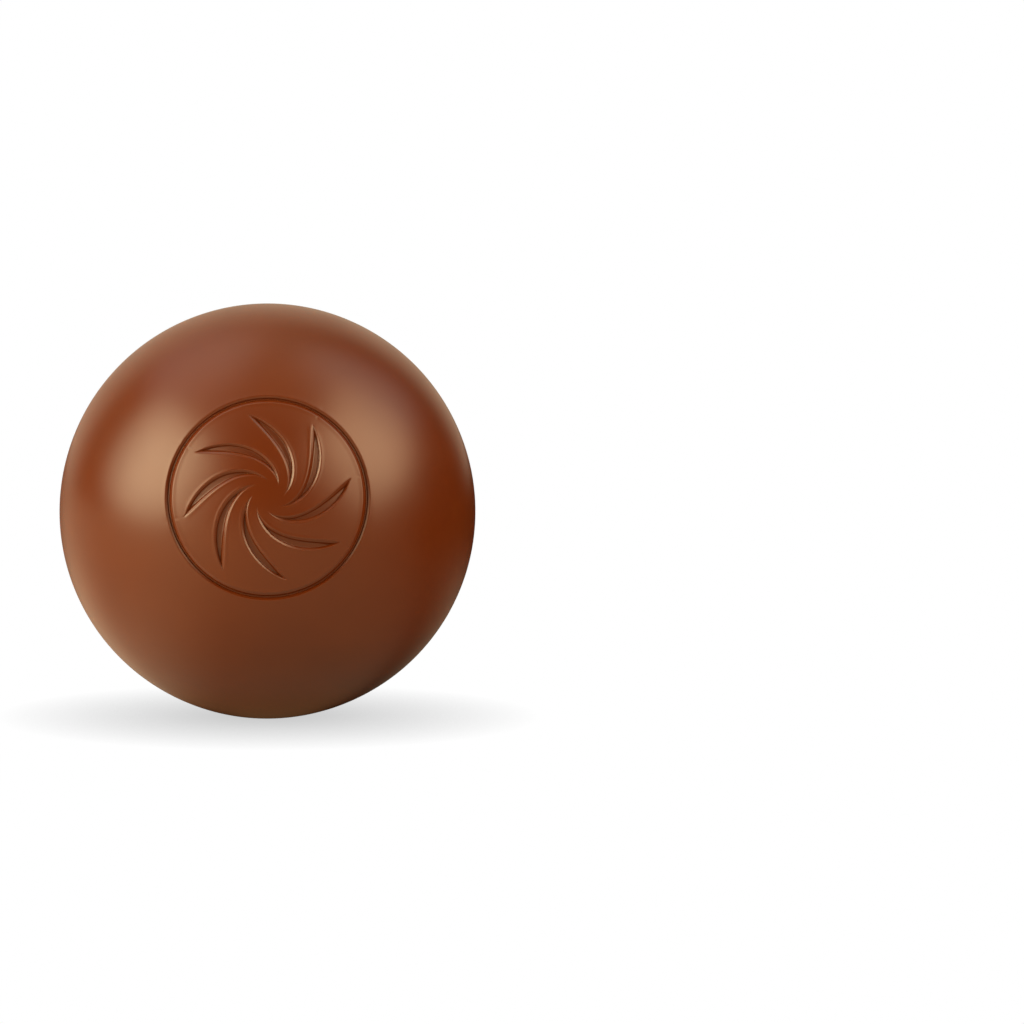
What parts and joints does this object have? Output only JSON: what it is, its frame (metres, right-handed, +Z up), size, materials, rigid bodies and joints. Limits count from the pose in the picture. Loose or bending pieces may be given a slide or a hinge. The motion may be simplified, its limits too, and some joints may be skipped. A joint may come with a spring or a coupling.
{
  "type": "chocolate truffle",
  "caption": "Round moulded milk chocolate truffle that rests on a small flat foot, its face engraved with a whirl of curved strokes in a ring.",
  "frame": {"origin": "middle of the small flat foot that the ball rests on", "axes": "+Z up through the middle of the ball; the engraved face looks forward along -Y and a little up; +X is to the right of someone who looks at that face"},
  "size_m": [0.028, 0.028, 0.0279],
  "materials": {
    "milk_chocolate": "tempered milk chocolate with the satin gloss of a polished mould"
  },
  "bodies": {
    "root": {"truffle": "milk_chocolate"}
  },
  "joints": []
}
